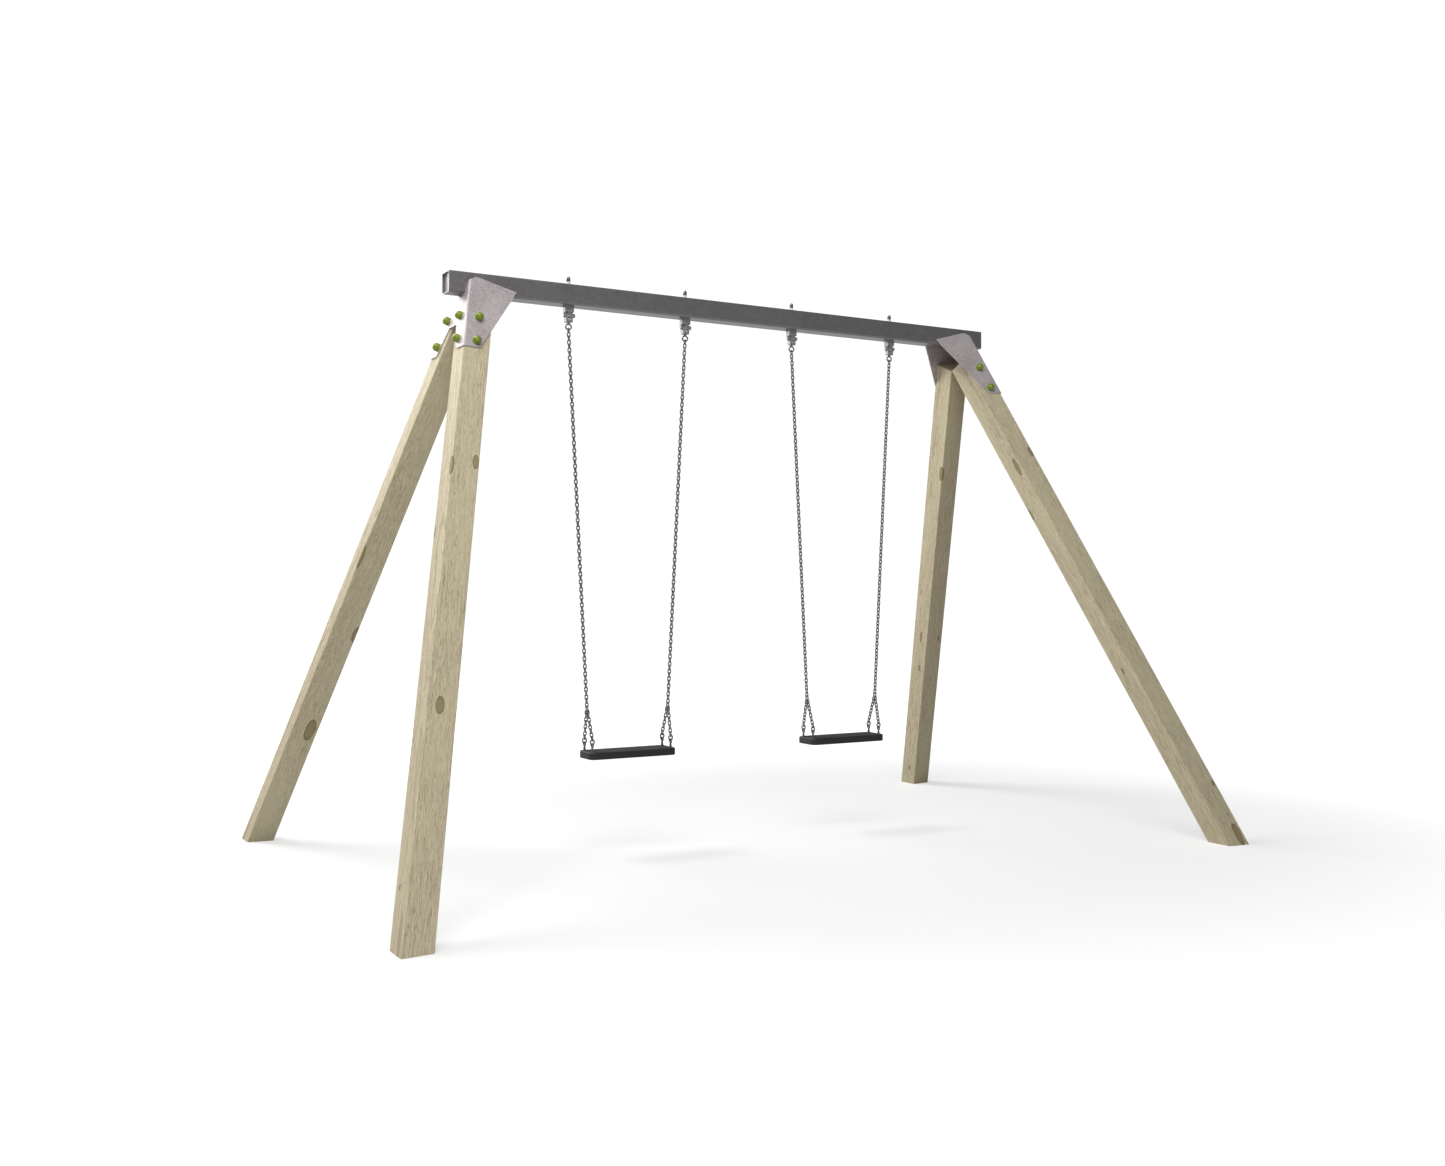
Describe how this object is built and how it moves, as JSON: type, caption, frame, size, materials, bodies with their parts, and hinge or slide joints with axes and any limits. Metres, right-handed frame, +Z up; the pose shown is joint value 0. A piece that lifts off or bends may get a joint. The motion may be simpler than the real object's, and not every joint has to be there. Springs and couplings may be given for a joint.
{
  "type": "timber swing set",
  "caption": "Free-standing timber A-frame swing set with a square steel top beam, folded head brackets, chain-hung flat rubber seats and bridle chains.",
  "frame": {"origin": "on the ground under the middle of the beam", "axes": "+X along the beam, -Y to the front, +Z up"},
  "size_m": [4.4802, 2.7952, 2.8525],
  "materials": {
    "timber": "planed pressure-treated softwood",
    "beam_steel": "dull galvanised steel",
    "bracket_steel": "galvanised folded plate",
    "green_plastic": "lime green moulded plastic",
    "nylon": "white nylon",
    "bronze": "sintered bronze",
    "rubber": "black moulded rubber",
    "chain_steel": "galvanised chain",
    "zinc_steel": "zinc plated steel"
  },
  "bodies": {
    "frame": {"front_left_leg": "timber", "rear_left_leg": "timber", "front_right_leg": "timber", "rear_right_leg": "timber", "top_beam": "beam_steel", "left_beam_end_plate": "beam_steel", "right_beam_end_plate": "beam_steel", "left_head_bracket": "bracket_steel", "right_head_bracket": "bracket_steel", "leg_coach_screws": "zinc_steel", "leg_screw_washers": "zinc_steel", "bolt_cap_bases": "green_plastic", "bolt_caps": "green_plastic", "hanger_block_1": "zinc_steel", "hanger_block_2": "zinc_steel", "hanger_block_3": "zinc_steel", "hanger_block_4": "zinc_steel", "hanger_bushes": "bronze", "hanger_studs": "zinc_steel", "hanger_stud_washers": "zinc_steel", "hanger_stud_nuts": "zinc_steel", "hanger_lock_rings": "nylon", "hanger_dome_nuts": "zinc_steel"},
    "left_swing": {"left_swing_left_clevis": "zinc_steel", "left_swing_right_clevis": "zinc_steel", "left_swing_pivot_bolts": "zinc_steel", "left_swing_pivot_washers": "zinc_steel", "left_swing_pivot_nuts": "zinc_steel", "left_swing_clevis_eyes": "zinc_steel", "left_swing_clevis_eye_nuts": "zinc_steel", "left_swing_left_chain": "chain_steel", "left_swing_right_chain": "chain_steel", "left_swing_joining_links": "chain_steel"},
    "left_seat": {"left_swing_left_bridle": "chain_steel", "left_swing_right_bridle": "chain_steel", "left_swing_seat_rings": "chain_steel", "left_swing_seat_eyes": "chain_steel", "left_swing_seat_washers": "zinc_steel", "left_swing_seat_nuts": "zinc_steel", "left_swing_seat": "rubber", "left_swing_seat_insert": "zinc_steel"},
    "right_swing": {"right_swing_left_clevis": "zinc_steel", "right_swing_right_clevis": "zinc_steel", "right_swing_pivot_bolts": "zinc_steel", "right_swing_pivot_washers": "zinc_steel", "right_swing_pivot_nuts": "zinc_steel", "right_swing_clevis_eyes": "zinc_steel", "right_swing_clevis_eye_nuts": "zinc_steel", "right_swing_left_chain": "chain_steel", "right_swing_right_chain": "chain_steel", "right_swing_joining_links": "chain_steel"},
    "right_seat": {"right_swing_left_bridle": "chain_steel", "right_swing_right_bridle": "chain_steel", "right_swing_seat_rings": "chain_steel", "right_swing_seat_eyes": "chain_steel", "right_swing_seat_washers": "zinc_steel", "right_swing_seat_nuts": "zinc_steel", "right_swing_seat": "rubber", "right_swing_seat_insert": "zinc_steel"}
  },
  "joints": [
    {"name": "left_swing_pivot", "type": "hinge", "parent": "frame", "child": "left_swing", "pos_m": [-0.649, 0, 2.662], "axis": [1, 0, 0], "range_deg": [-60, 60]},
    {"name": "left_seat_tilt", "type": "hinge", "parent": "left_swing", "child": "left_seat", "pos_m": [-0.649, 0, 0.73061], "axis": [1, 0, 0], "range_deg": [-25, 25]},
    {"name": "right_swing_pivot", "type": "hinge", "parent": "frame", "child": "right_swing", "pos_m": [0.649, 0, 2.662], "axis": [1, 0, 0], "range_deg": [-60, 60]},
    {"name": "right_seat_tilt", "type": "hinge", "parent": "right_swing", "child": "right_seat", "pos_m": [0.649, 0, 0.73061], "axis": [1, 0, 0], "range_deg": [-25, 25]}
  ]
}
